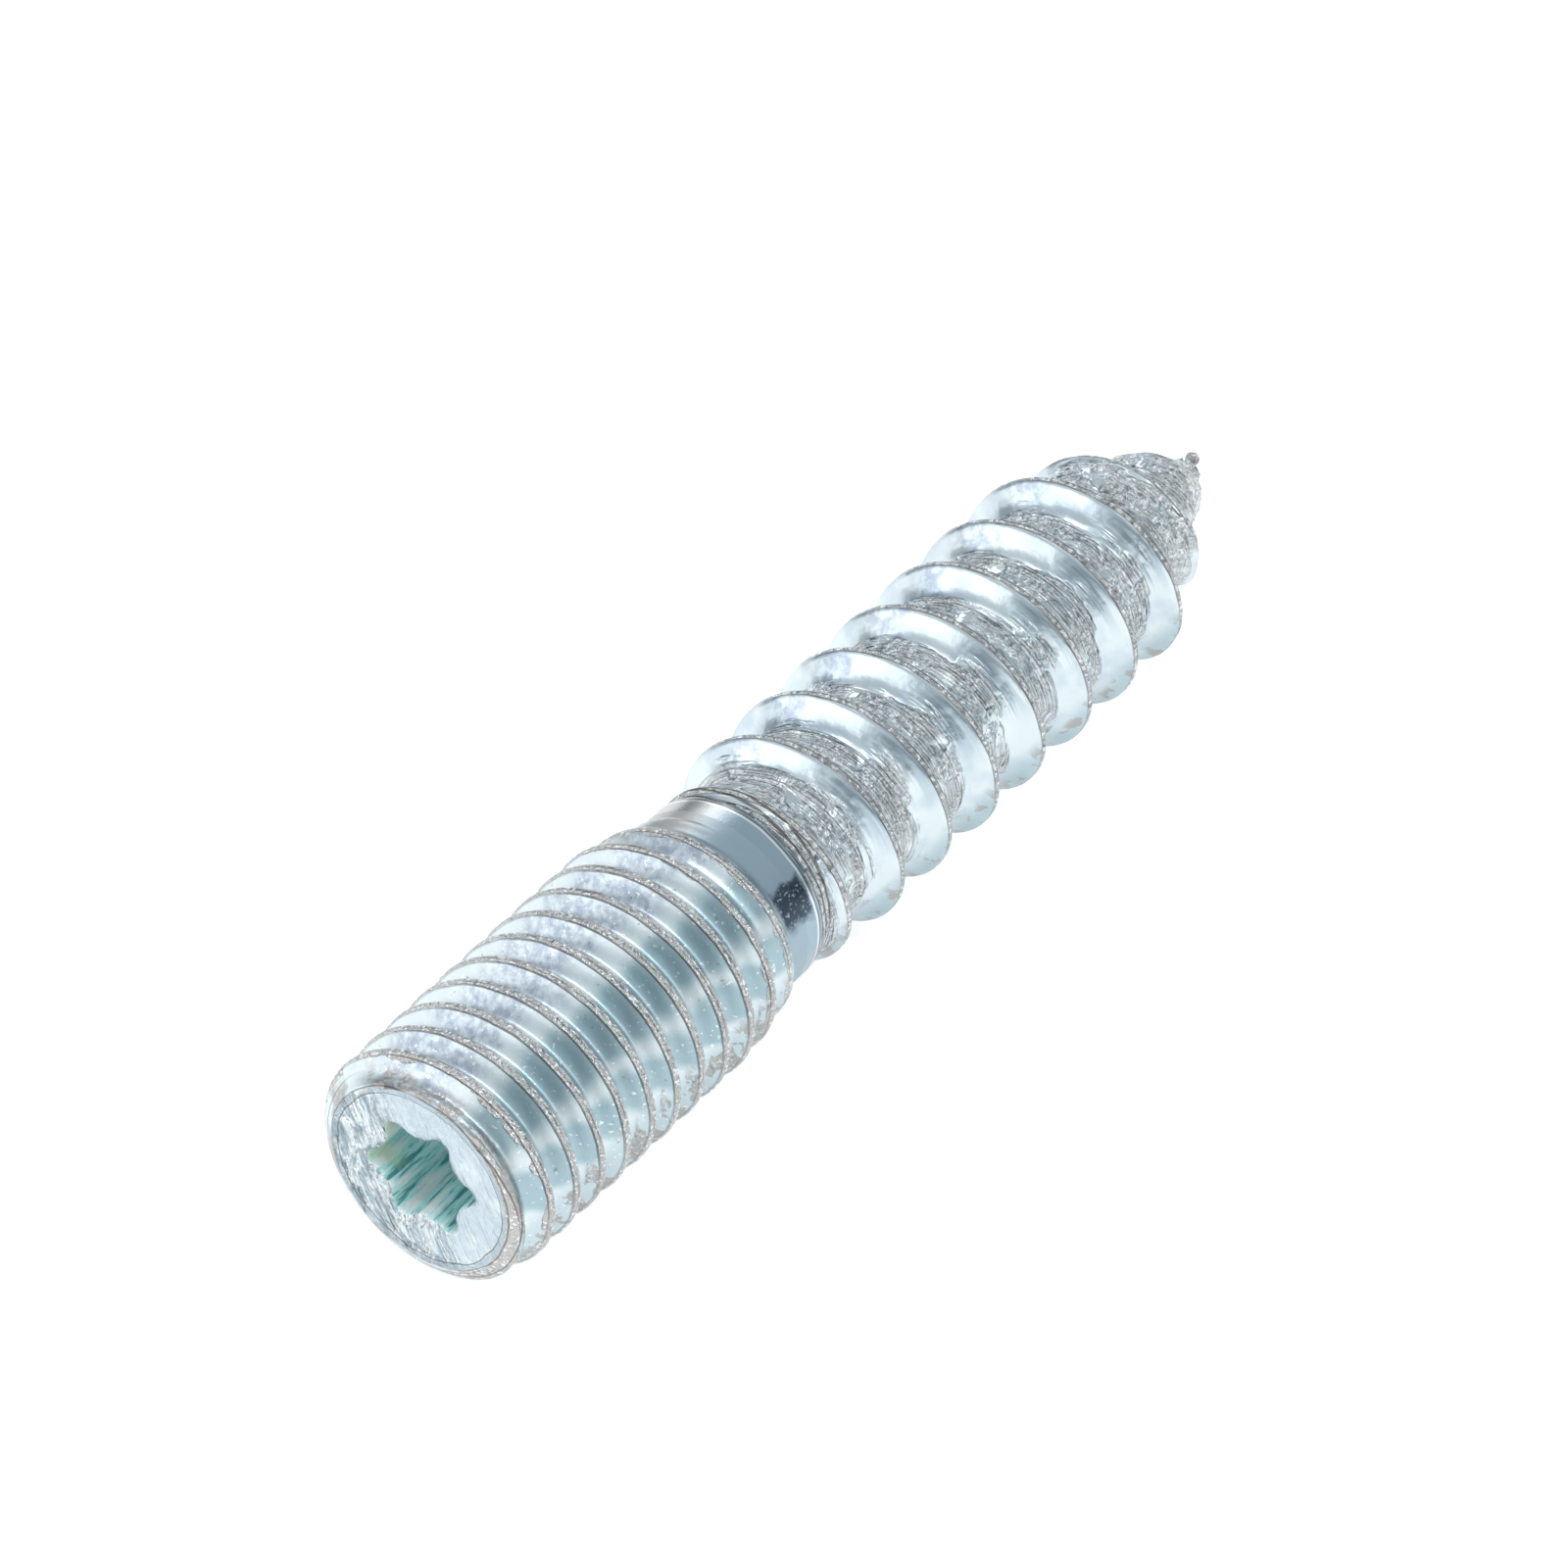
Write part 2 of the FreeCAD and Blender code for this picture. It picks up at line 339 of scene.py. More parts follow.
def lobeRadius(angle):
    # outline of the six-lobe recess: round lobes, and round flutes between them
    lobe = endFace["lobeRadius"]
    outer, inner = endFace["acrossLobes"] / 2, endFace["acrossFlutes"] / 2
    centre = outer - lobe
    spread = math.sqrt(3) * centre
    flute = lobe ** 2 - centre ** 2 - inner ** 2 + spread * inner
    flute /= 2 * inner - spread - 2 * lobe
    gap = inner + flute
    # the point where a lobe's arc passes into a flute's
    towards = around(0.0, gap, math.radians(30)) - Vector((0.0, centre, 0.0))
    touch = Vector((0.0, centre, 0.0)) + lobe * towards.normalized()
    turn = abs((math.degrees(angle) - endFace["lobeAngle"] + 30) % 60 - 30)
    if turn < math.degrees(math.atan2(touch.z, touch.y)):
        a = math.radians(turn)
        return centre * math.cos(a) + math.sqrt(lobe ** 2 - (centre * math.sin(a)) ** 2)
    b = math.radians(30 - turn)
    return gap * math.cos(b) - math.sqrt(flute ** 2 - (gap * math.sin(b)) ** 2)


def faceRing(share):
    # a ring of the sheared face, at this share of the way from its rim to the recess
    def shape(point):
        angle = polar(point)[1]
        inner = lobeRadius(angle) + endFace["lipGap"]
        radius = endFace["radius"] + (inner - endFace["radius"]) * share
        spot = around(0.0, radius, angle)
        across = spot.dot(Vector((0.0, *endFace["acrossStreaks"])))
        along = spot.dot(Vector((0.0, *endFace["alongStreaks"])))
        streak = abs(noise.noise(Vector((0.0, across, along))))
        lumpAt = spot * endFace["lumpScale"] + Vector((endFace["lumpSeed"], 0.0, 0.0))
        lump = noise.noise(lumpAt) + endFace["lumpLift"]
        groove = math.exp(-((radius - endFace["grooveRadius"]) / endFace["grooveWidth"]) ** 2)
        hollow = math.exp(-((share - 1.0) / endFace["hollowShare"]) ** 2)
        depth = endFace["streaks"] * streak + endFace["lumps"] * lump
        depth += endFace["groove"] * groove + endFace["hollow"] * hollow
        return around(depth * min(1.0, endFace["rise"] * share), radius, angle)
    return shape


def recessRing(deep):
    # a ring of the recess's wall
    def shape(point):
        angle = polar(point)[1]
        drawn = noise.noise(around(deep * endFace["wavesDown"], endFace["wavesRound"], angle))
        taper = endFace["recessTaper"] * deep / endFace["recessDepth"]
        radius = lobeRadius(angle) - taper + endFace["recessWaves"] * drawn
        return around(endFace["lipDepth"] + deep, radius, angle)
    return shape


def floorRing(shrink):
    def shape(point):
        t, angle, radius = polar(point)
        return around(t + endFace["floorFall"], radius * shrink, angle)
    return shape


def closeEndFace(bm):
    edge = rimEdges(bm, 0.0)
    rings = endFace["rings"]
    for k in range(1, rings + 1):
        edge = stepIn(bm, edge, faceRing(k / rings))
    rings = endFace["recessRings"]
    for k in range(1, rings + 1):
        deep = endFace["recessDepth"] * (k / rings) ** endFace["ringSpacing"]
        edge = stepIn(bm, edge, recessRing(deep))
    for shrink in endFace["floorRings"]:
        edge = stepIn(bm, edge, floorRing(shrink))
    bmesh.ops.contextual_create(bm, geom=edge)
    print("end face and recess closed")


# the ball left at the very point
nub = {
    "outline": [(40.12, 0.52), (40.18, 0.38), (40.24, 0.27), (40.29, 0.215), (40.34, 0.20),
                (40.39, 0.205), (40.44, 0.22), (40.50, 0.23), (40.57, 0.225), (40.64, 0.19),
                (40.70, 0.13), (40.735, 0.06)],  # height and radius
    "lumps": 0.12,
    "lumpsAlong": 3,
    "lumpsRound": 2,
    "blend": 0.2,  # height over which the thread's form gives way to the ball's
    "lean": 0.24,
    "leanAngle": 75.0,
    "leanOver": 0.3,
}


def nubRing(height, radius):
    def shape(point):
        angle, old = polar(point)[1:]
        lump = noise.noise(around(height * nub["lumpsAlong"], nub["lumpsRound"], angle))
        keep = max(0.0, 1 - (height - bolt["tipJoin"]) / nub["blend"])
        mixed = old * keep + radius * (1 - keep)
        return around(height, mixed * (1 + nub["lumps"] * lump), angle)
    return shape


def closeTip(bm):
    edge = rimEdges(bm, bolt["tipJoin"])
    for height, radius in nub["outline"]:
        edge = stepIn(bm, edge, nubRing(height, radius))
    bmesh.ops.contextual_create(bm, geom=edge)
    lean = around(0.0, nub["lean"], math.radians(nub["leanAngle"]))
    for vert in bm.verts:
        if vert.co.x > bolt["tipJoin"]:
            share = min(1.0, (vert.co.x - bolt["tipJoin"]) / nub["leanOver"])
            vert.co += lean * share * share * (3 - 2 * share)
    print("point closed")


zinc = {
    "pale": (0.80, 0.87, 0.89, 1),
    "white": (1.0, 1.0, 1.0, 1),
    "ice": (0.93, 0.98, 1.0, 1),
    "teal": (0.39, 0.53, 0.58, 1),
    "violet": (0.28, 0.33, 0.46, 1),
    "haze": (0.65, 0.73, 0.79, 1),
    "brown": (0.66, 0.62, 0.60, 1),
    "rust": (0.44, 0.39, 0.37, 1),
    # dark seams, and the painted shade in pits, cracks, grooves and creases
    "seamAndShade": (0.15, 0.13, 0.12, 1),
    "night": (0.06, 0.08, 0.11, 1),
    "grey": (0.74, 0.76, 0.77, 1),
    "steel": (0.40, 0.50, 0.57, 1),
    "recess": (0.58, 0.92, 0.90, 1),
    "deep": (0.10, 0.34, 0.38, 1),
    "moss": (0.66, 0.80, 0.45, 1),
}

# sides of the bolt as the photo shows it: a direction in Y and Z, and how far out it fades in
sides = {
    "camera": ((-0.56, 0.83), (1.2, 3.0)),
    "lowerRight": ((-0.85, -0.53), (2.9, 3.5)),
}


class Finish:
    # a metal material and short ways to add its nodes
    def __init__(self, name):
        self.material = bpy.data.materials.new(name)
        self.material.use_nodes = True
        self.tree = self.material.node_tree
        self.shader = self.tree.nodes["Principled BSDF"]
        self.shader.inputs["Metallic"].default_value = 1.0
        # millimetres from the middle of the end face
        here = self.add("TexCoord", output="Object")
        middle = (bolt["length"] / 2, 0, -bolt["axisHeight"])
        self.point = self.add("Mapping", {"Vector": here, "Location": middle,
                                          "Scale": (perMetre, perMetre, perMetre)})
        self.t, self.y, self.z = self.split(self.point)
        # millimetres from the crest's middle, negative towards the machine end
        self.s = self.split(self.add("UVMap", uv_map="along"))[1]

    def put(self, socket, value):
        if isinstance(value, bpy.types.NodeSocket):
            self.tree.links.new(value, socket)
        else:
            socket.default_value = value

    def add(self, kind, inputs=None, output=0, **settings):
        node = self.tree.nodes.new("ShaderNode" + kind)
        for key, value in settings.items():
            setattr(node, key, value)
        for key, value in (inputs or {}).items():
            self.put(node.inputs[key], value)
        return node.outputs[output]

    def split(self, vector):
        node = self.tree.nodes.new("ShaderNodeSeparateXYZ")
        self.put(node.inputs[0], vector)
        return node.outputs[:3]

    def math(self, operation, a, b=0.0):
        return self.add("Math", {0: a, 1: b}, operation=operation)

    def fold(self, operation, values):
        result = values[0]
        for value in values[1:]:
            result = self.math(operation, result, value)
        return result

    def plus(self, *values):
        return self.fold("ADD", values)

    def times(self, *values):
        return self.fold("MULTIPLY", values)

    def larger(self, *values):
        return self.fold("MAXIMUM", values)

    def minus(self, a, b):
        return self.math("SUBTRACT", a, b)

    def size(self, value):
        return self.math("ABSOLUTE", value)

    def sway(self, value, amount):
        # a noise made a push either way
        return self.times(self.minus(value, 0.5), amount)

    def step(self, value, low, high):
        # from 0 to 1 as value goes from low to high
        return self.add("MapRange", {0: value, 1: low, 2: high}, interpolation_type="SMOOTHSTEP")

    def fall(self, value, low, high):
        return self.add("MapRange", {0: value, 1: low, 2: high, 3: 1.0, 4: 0.0},
                        interpolation_type="SMOOTHSTEP")

    def line(self, value, place, width):
        return self.fall(self.size(self.minus(value, place)), width / 2, width)

    def lines(self, value, places):
        return self.larger(*[self.line(value, place, width) for place, width in places])

    def tint(self, share, base, over):
        return self.add("Mix", {0: share, 6: base, 7: over}, output=2, data_type="RGBA")

    def noise(self, scale, detail=2.0, stretch=(1, 1, 1), rough=0.5):
        place = self.add("Mapping", {"Vector": self.point, "Scale": stretch})
        return self.add("TexNoise", {"Vector": place, "Scale": scale, "Detail": detail,
                                     "Roughness": rough})

    def drawn(self, alongScale, acrossScale, detail=2.0):
        # noise drawn out along the thread, from its own unrolled map
        place = self.add("Mapping", {"Vector": self.add("UVMap", uv_map="along"),
                                     "Scale": (alongScale, acrossScale, 1)})
        return self.add("TexNoise", {"Vector": place, "Scale": 1.0, "Detail": detail})

    def cells(self, scale):
        return self.add("TexVoronoi", {"Vector": self.point, "Scale": scale}, output="Distance")

    def towards(self, y, z):
        return self.plus(self.times(self.y, y), self.times(self.z, z))

    def onSide(self, name):
        direction, fade = sides[name]
        return self.step(self.towards(*direction), *fade)

    def bearing(self):
        # angle about the bolt, from the side turned to the camera
        y, z = sides["camera"][0]
        return self.math("ARCTAN2", self.towards(-z, y), self.towards(y, z))

    def reach(self):
        # distance from the bolt's axis
        squares = self.plus(self.times(self.y, self.y), self.times(self.z, self.z))
        return self.math("SQRT", squares)

    def bump(self, height, distance, strength=1.0, below=None):
        # relief over what is below it, its distance in millimetres
        inputs = {"Height": height, "Distance": distance / perMetre, "Strength": strength}
        if below is not None:
            inputs["Normal"] = below
        return self.add("Bump", inputs)

    def finish(self, colour, roughness, normal):
        self.put(self.shader.inputs["Base Color"], colour)
        self.put(self.shader.inputs["Roughness"], roughness)
        self.put(self.shader.inputs["Normal"], normal)
        return self.material


def crinkle(f, share, colour, scale, darkness, bright):
    # rough metal: pitted noise under small round grains; gives colour, with painted shade in the
    # pits and painted glints on the grains, and height
    pits = f.noise(scale * 1.2, 3, rough=0.6)
    height = f.minus(pits, f.times(f.cells(scale * 0.8), 0.5))
    # painted shade: the pits darkened
    colour = f.tint(f.times(share, f.fall(pits, 0.36, 0.42), darkness), colour, zinc["seamAndShade"])
    # painted glints: the grains' tops tinted white
    grains = f.step(height, bright, bright + 0.05)
    colour = f.tint(f.times(share, grains), colour, zinc["white"])
    return colour, f.times(height, share)


# In each table of marks, a pair is a place and its width, or where a mark starts and ends
collarMarks = {
    # bearings in radians
    "brownEnd": (-0.95, -0.45),
    "patchStart": (0.22, 0.30),
    "patchEnd": (0.60, 0.78),
    # places along the bolt
    "patchFrom": (14.1, 14.3),
    "patchTo": (15.45, 15.6),
    "ridges": [(15.84, 0.04), (15.71, 0.035)],
    "brightLine": (15.62, 0.05),
    # how strongly each is laid on
    "share": {"brown": 0.9, "patch": 0.95, "ridges": 0.8, "brightLine": 0.8},
    "roughness": 0.26,
}


def collarStainAndShade(f, colour):
    # brownish near the top, and a black speckled patch low on the side turned to the camera, painted
    # as a dark reflection
    marks, share = collarMarks, collarMarks["share"]
    turn = f.plus(f.bearing(), f.sway(f.noise(1.5, 3), 0.3))
    brown = f.fall(turn, *marks["brownEnd"])
    colour = f.tint(f.times(brown, share["brown"]), colour, zinc["brown"])
    place = f.plus(f.t, f.sway(f.noise(2.5, 3), 0.3))
    patch = f.times(f.step(turn, *marks["patchStart"]), f.fall(turn, *marks["patchEnd"]),
                    f.step(place, *marks["patchFrom"]), f.fall(place, *marks["patchTo"]))
    # painted dark reflection: the black patch low on one side
    colour = f.tint(f.times(patch, share["patch"]), colour, zinc["night"])
    speckles = f.step(f.noise(11, 1), 0.60, 0.68)
    return f.tint(f.times(patch, speckles), colour, zinc["steel"])


def collarZinc():
    f = Finish("collarZinc")
    marks, share = collarMarks, collarMarks["share"]
    colour = collarStainAndShade(f, zinc["steel"])
    # fine ridges left where the wood thread's rolling began, painted dark as the shade in their
    # grooves
    place = f.plus(f.t, f.sway(f.noise(0.7, 3), 0.12))
    ridges = f.lines(place, marks["ridges"])
    colour = f.tint(f.times(ridges, share["ridges"]), colour, zinc["seamAndShade"])
    # a painted highlight along the collar's end
    bright = f.line(place, *marks["brightLine"])
    colour = f.tint(f.times(bright, share["brightLine"]), colour, zinc["white"])
    fine = f.bump(f.noise(14, 2), 0.006)
    return f.finish(colour, marks["roughness"], fine)


machineMarks = {
    # distances from the crest's middle
    "crest": (0.12, 0.14),
    "raggedBy": 0.12,
    "seamAndShade": (0.15, 0.018),
    "middleSeam": (0.02, 0.014),
    "patchReach": (0.34, 0.40),
    # places along the bolt
    "ridgesEnd": (13.2, 14.4),
    "raggedTo": (1.2, 1.9),
    "raggedFrom": (11.6, 12.6),
    "plainFrom": (13.3, 13.9),
    "patchFrom": (0.8, 1.2),
    "wornTo": (0.35, 0.7),
    "ringsTo": (0.35, 0.5),
    # radii
    "plainRadius": (3.33, 3.40),
    "rings": [(3.27, 0.03), (3.62, 0.025)],
    # bearings in radians, of the bands of painted dark reflection
    "filmAndDarkReflection": [(0.12, 0.36), (0.76, 0.26)],
    "haze": (-0.76, 0.50),
    # how strongly each is laid on
    "share": {"filmAndDarkReflection": 0.9, "haze": 0.75, "lowerSideShade": 0.45, "bright": 0.9, "dark": 0.4,
              "patch": 0.7, "worn": 0.8, "crest": 0.85, "rings": 0.75},
    "roughness": 0.38,
}


def machineFilmAndPaintedLight(f):
    # the bluish film on the zinc, with painted dark reflections in soft bands along the bolt,
    # painted shade on the lower right side, painted glints as small white specks, and small dark
    # specks
    marks, share = machineMarks, machineMarks["share"]
    drift = f.minus(f.noise(0.5, 2), 0.5)
    # painted dark reflections: teal bands at fixed bearings about the bolt, in the film's colour
    filmAndDarkReflection = f.lines(f.plus(f.bearing(), f.times(drift, 0.4)), marks["filmAndDarkReflection"])
    colour = f.tint(f.times(filmAndDarkReflection, share["filmAndDarkReflection"]), zinc["pale"], zinc["teal"])
    # painted dark reflection: a violet band at one bearing, broken up by cloudy noise
    haze = f.line(f.plus(f.bearing(), f.times(drift, 0.8)), *marks["haze"])
    cloud = f.step(f.noise(3.6, 4, (0.7, 1, 1), 0.65), 0.28, 0.72)
    colour = f.tint(f.times(haze, cloud, share["haze"]), colour, zinc["violet"])
    # painted shade: darker teal on the lower right side
    colour = f.tint(f.times(f.onSide("lowerRight"), share["lowerSideShade"]), colour, zinc["teal"])
    # painted glints: small white specks
    bright = f.step(f.noise(7, 2, rough=0.4), 0.66, 0.72)
    colour = f.tint(f.times(bright, share["bright"]), colour, zinc["white"])
    dark = f.fall(f.noise(4.5, 2, rough=0.4), 0.24, 0.30)
    return f.tint(f.times(dark, share["dark"]), colour, zinc["seamAndShade"])


def machineZinc():
    f = Finish("machineThreadZinc")
    marks, share = machineMarks, machineMarks["share"]
    reach, wave = f.reach(), f.minus(f.drawn(18, 3), 0.5)
    away = f.plus(f.size(f.s), f.times(wave, 0.06))
    ridge = f.fall(f.t, *marks["ridgesEnd"])
    # the rolled crest, ragged near both ends, with a dark line at each side, partly seam and partly
    # painted shade, and a seam in the middle
    ragged = f.plus(f.fall(f.t, *marks["raggedTo"]), f.step(f.t, *marks["raggedFrom"]))
    ragged = f.times(ragged, f.step(f.noise(1.2, 2), 0.4, 0.6), marks["raggedBy"])
    crest = f.times(f.fall(f.minus(away, ragged), *marks["crest"]), ridge)
    edgeSeamsAndShade = f.times(f.line(away, *marks["seamAndShade"]), ridge)
    middle = f.line(away, *marks["middleSeam"])
    middle = f.times(middle, f.step(f.drawn(9, 2), 0.5, 0.6), ridge)
    plain = f.times(f.fall(reach, *marks["plainRadius"]), f.step(f.t, *marks["plainFrom"]))
    patch = f.times(f.onSide("lowerRight"), f.step(f.noise(1.3, 3, (1.3, 1, 1)), 0.50, 0.53),
                    f.fall(f.size(f.s), *marks["patchReach"]), f.step(f.t, *marks["patchFrom"]))
    worn = f.times(f.fall(f.t, *marks["wornTo"]), f.step(f.noise(1.1, 3), 0.42, 0.58))
    colour = f.tint(plain, machineFilmAndPaintedLight(f), collarStainAndShade(f, zinc["steel"]))
    colour = f.tint(f.times(patch, share["patch"]), colour, zinc["rust"])
    colour = f.tint(f.times(worn, share["worn"]), colour, zinc["rust"])
    colour = f.tint(f.times(crest, share["crest"]), colour, zinc["brown"])
    rough = f.larger(crest, f.times(worn, 0.3), f.times(patch, 0.5))
    colour, height = crinkle(f, rough, colour, scale=6.5, darkness=0.3, bright=0.335)
    lit = f.plus(f.times(f.onSide("camera"), 0.5), 0.35)
    colour = f.tint(f.times(f.larger(edgeSeamsAndShade, middle), lit), colour, zinc["seamAndShade"])
    rings = f.lines(f.plus(reach, f.times(wave, 0.10)), marks["rings"])
    rings = f.times(rings, f.fall(f.t, *marks["ringsTo"]), share["rings"])
    colour = f.tint(rings, colour, zinc["seamAndShade"])
    fine = f.bump(height, 0.14)
    dimple = f.bump(f.noise(6, 2, rough=0.4), 0.005, 1.0, fine)
    roughness = f.plus(f.times(rough, -0.2), marks["roughness"])
    return f.finish(colour, roughness, dimple)


woodMarks = {
    # distances from the crest's middle, negative towards the machine end
    "crest": (0.07, 0.09),
    "seamAndShade": (0.10, 0.028),
    "edge": (-0.90, 0.035),
    "lip": (-0.85, 0.05),
    "nearFlank": 0.78,  # how far down each flank the metal stays smooth
    "farFlank": 0.62,
    "flankEnd": (-0.16, 0.12),
    # places along the bolt
    "ridgesFrom": (15.85, 15.9),
    "ridgesTo": (16.4, 16.6),
    "startTo": (17.0, 19.0),
    "pointFrom": (33.0, 36.5),
    "nubFrom": (40.0, 40.3),
    # bearings in radians
    "scuff": 0.2,
    "scuffEnd": (0.1, 0.6),
    "violet": (-1.05, 0.26),
    # how strongly each is laid on
    "share": {"scuff": 0.7, "lowerSideShade": 0.7, "violet": 0.6, "grey": 0.4, "brown": 0.35,
              "spots": 0.8, "crest": 0.6, "cracks": 0.55, "edge": 0.6, "ridges": 0.8,
              "lip": 0.6, "nub": 0.7},
    "roughness": 0.28,
}


def woodFlank(f, scuff):
    # the smooth flanks, which give way to the rough root bit by bit and hardly last to the point
    marks = woodMarks
    blot = f.sway(f.drawn(6, 3, 4), 1.3)
    ends = f.plus(f.times(f.step(f.t, *marks["pointFrom"]), -0.62),
                  f.times(f.fall(f.t, *marks["startTo"]), -0.45))
    ends = f.plus(blot, ends, f.times(scuff, -0.32))
    near = f.step(f.plus(f.s, marks["nearFlank"], ends), *marks["flankEnd"])
    far = f.step(f.plus(f.minus(marks["farFlank"], f.s), ends), *marks["flankEnd"])
    return f.larger(f.times(near, f.fall(f.s, -0.08, -0.04)),
                    f.times(far, f.step(f.s, 0.04, 0.08)))


def woodFilmAndShade(f, root, crest, scuff, away):
    # the zinc's own colours, with the stains of the rough root and the rolled crest, and painted
    # shade on the lower right side
    marks, share = woodMarks, woodMarks["share"]
    colour = f.tint(f.step(f.noise(0.7, 3), 0.4, 0.65), zinc["pale"], zinc["haze"])
    streaks = f.step(f.drawn(5, 7, 3), 0.42, 0.55)
    colour = f.tint(f.times(scuff, streaks), colour, zinc["steel"])
    # painted shade: darker teal on the lower right side
    colour = f.tint(f.times(f.onSide("lowerRight"), share["lowerSideShade"]), colour, zinc["teal"])
    violet = f.line(f.plus(f.bearing(), f.sway(f.noise(0.8, 2), 0.6)), *marks["violet"])
    cloud = f.step(f.noise(2.6, 4, rough=0.65), 0.36, 0.64)
    colour = f.tint(f.times(violet, cloud, share["violet"]), colour, zinc["violet"])
    colour = f.tint(f.times(root, share["grey"]), colour, zinc["grey"])
    stain = f.step(f.noise(1.3, 3), 0.50, 0.62)
    colour = f.tint(f.times(root, stain, share["brown"]), colour, zinc["brown"])
    spots = f.times(f.onSide("lowerRight"), f.step(f.noise(1.7, 3), 0.54, 0.58),
                    f.fall(away, 0.35, 0.5))
    colour = f.tint(f.times(spots, share["spots"]), colour, zinc["rust"])
    return f.tint(f.times(crest, share["crest"]), colour, zinc["brown"])


def woodLines(f, colour, s, away, wave):
    # seams beside the crest, partly painted shade; the root's edge, painted dark as the shade of its
    # step, with a painted highlight on its lip; and the neck's fine ridges, painted dark as the
    # shade in their grooves
    marks, share = woodMarks, woodMarks["share"]
    lit = f.plus(f.times(f.onSide("camera"), 0.55), 0.25)
    colour = f.tint(f.times(f.line(away, *marks["seamAndShade"]), lit), colour, zinc["seamAndShade"])
    edge = f.line(s, *marks["edge"])
    colour = f.tint(f.times(edge, share["edge"]), colour, zinc["seamAndShade"])
    pitches = f.math("DIVIDE", f.plus(f.t, f.times(wave, 0.1)), woodThread["ridgePitch"])
    ridges = f.line(f.math("FRACT", pitches), 0.5, 0.22)
    ridges = f.times(ridges, f.step(f.t, *marks["ridgesFrom"]), f.fall(f.t, *marks["ridgesTo"]))
    colour = f.tint(f.times(ridges, share["ridges"]), colour, zinc["seamAndShade"])
    # painted highlight on the root's lip
    lip = f.line(s, *marks["lip"])
    return f.tint(f.times(lip, share["lip"]), colour, zinc["white"])


def woodZinc():
    f = Finish("woodThreadZinc")
    marks, share = woodMarks, woodMarks["share"]
    wave = f.minus(f.drawn(16, 2, 3), 0.5)
    s = f.plus(f.s, f.times(wave, 0.10))
    away = f.size(s)
    crest = f.fall(away, *marks["crest"])
    scuff = f.fall(f.size(f.minus(f.bearing(), marks["scuff"])), *marks["scuffEnd"])
    scuff = f.times(scuff, share["scuff"])
    root = f.minus(1.0, f.larger(woodFlank(f, scuff), crest))
    colour = woodFilmAndShade(f, root, crest, scuff, away)
    grains = f.times(root, f.step(f.noise(1.1, 2), 0.40, 0.52))
    grains = f.larger(grains, crest)
    colour, height = crinkle(f, grains, colour, scale=6, darkness=0.5, bright=0.27)
    # cracks and scratches along the thread, in the root and on the scuffed side: the cracks painted
    # dark as their shade, the scratches painted white as highlights
    scratch = f.drawn(8, 18, 3)
    torn = f.times(root, f.fall(f.noise(0.9, 2), 0.42, 0.58))
    worn = f.times(scuff, f.fall(f.s, -0.45, -0.25), f.step(f.noise(1.0, 2), 0.35, 0.75))
    torn = f.larger(torn, worn)
    cracks = f.fall(scratch, 0.36, 0.41)
    colour = f.tint(f.times(torn, cracks, share["cracks"]), colour, zinc["seamAndShade"])
    colour = f.tint(f.times(torn, f.step(scratch, 0.52, 0.57)), colour, zinc["white"])
    colour = woodLines(f, colour, s, away, wave)
    atNub = f.step(f.t, *marks["nubFrom"])
    colour = f.tint(f.times(atNub, share["nub"]), colour, zinc["rust"])
    satin = f.bump(f.noise(9, 2), 0.004)
    fine = f.bump(height, 0.30, 1.0, satin)
    lines = f.bump(f.times(scratch, torn), 0.20, 1.0, fine)
    swell = f.bump(f.noise(1.2, 2), 0.06, 0.6, lines)
    roughness = f.plus(f.times(f.larger(root, crest), -0.15), marks["roughness"])
    return f.finish(colour, roughness, swell)


shearMarks = {
    "tornHalf": (-0.9, 0.9),  # across the face
    "cracks": (0.004, 0.014),
    # radii
    "groove": (3.03, 0.03),
    "rim": (3.04, 3.1),
    # how strongly each is laid on
    "share": {"tornHalf": 0.8, "groove": 0.75, "rim": 0.6},
    "roughness": 0.22,
}


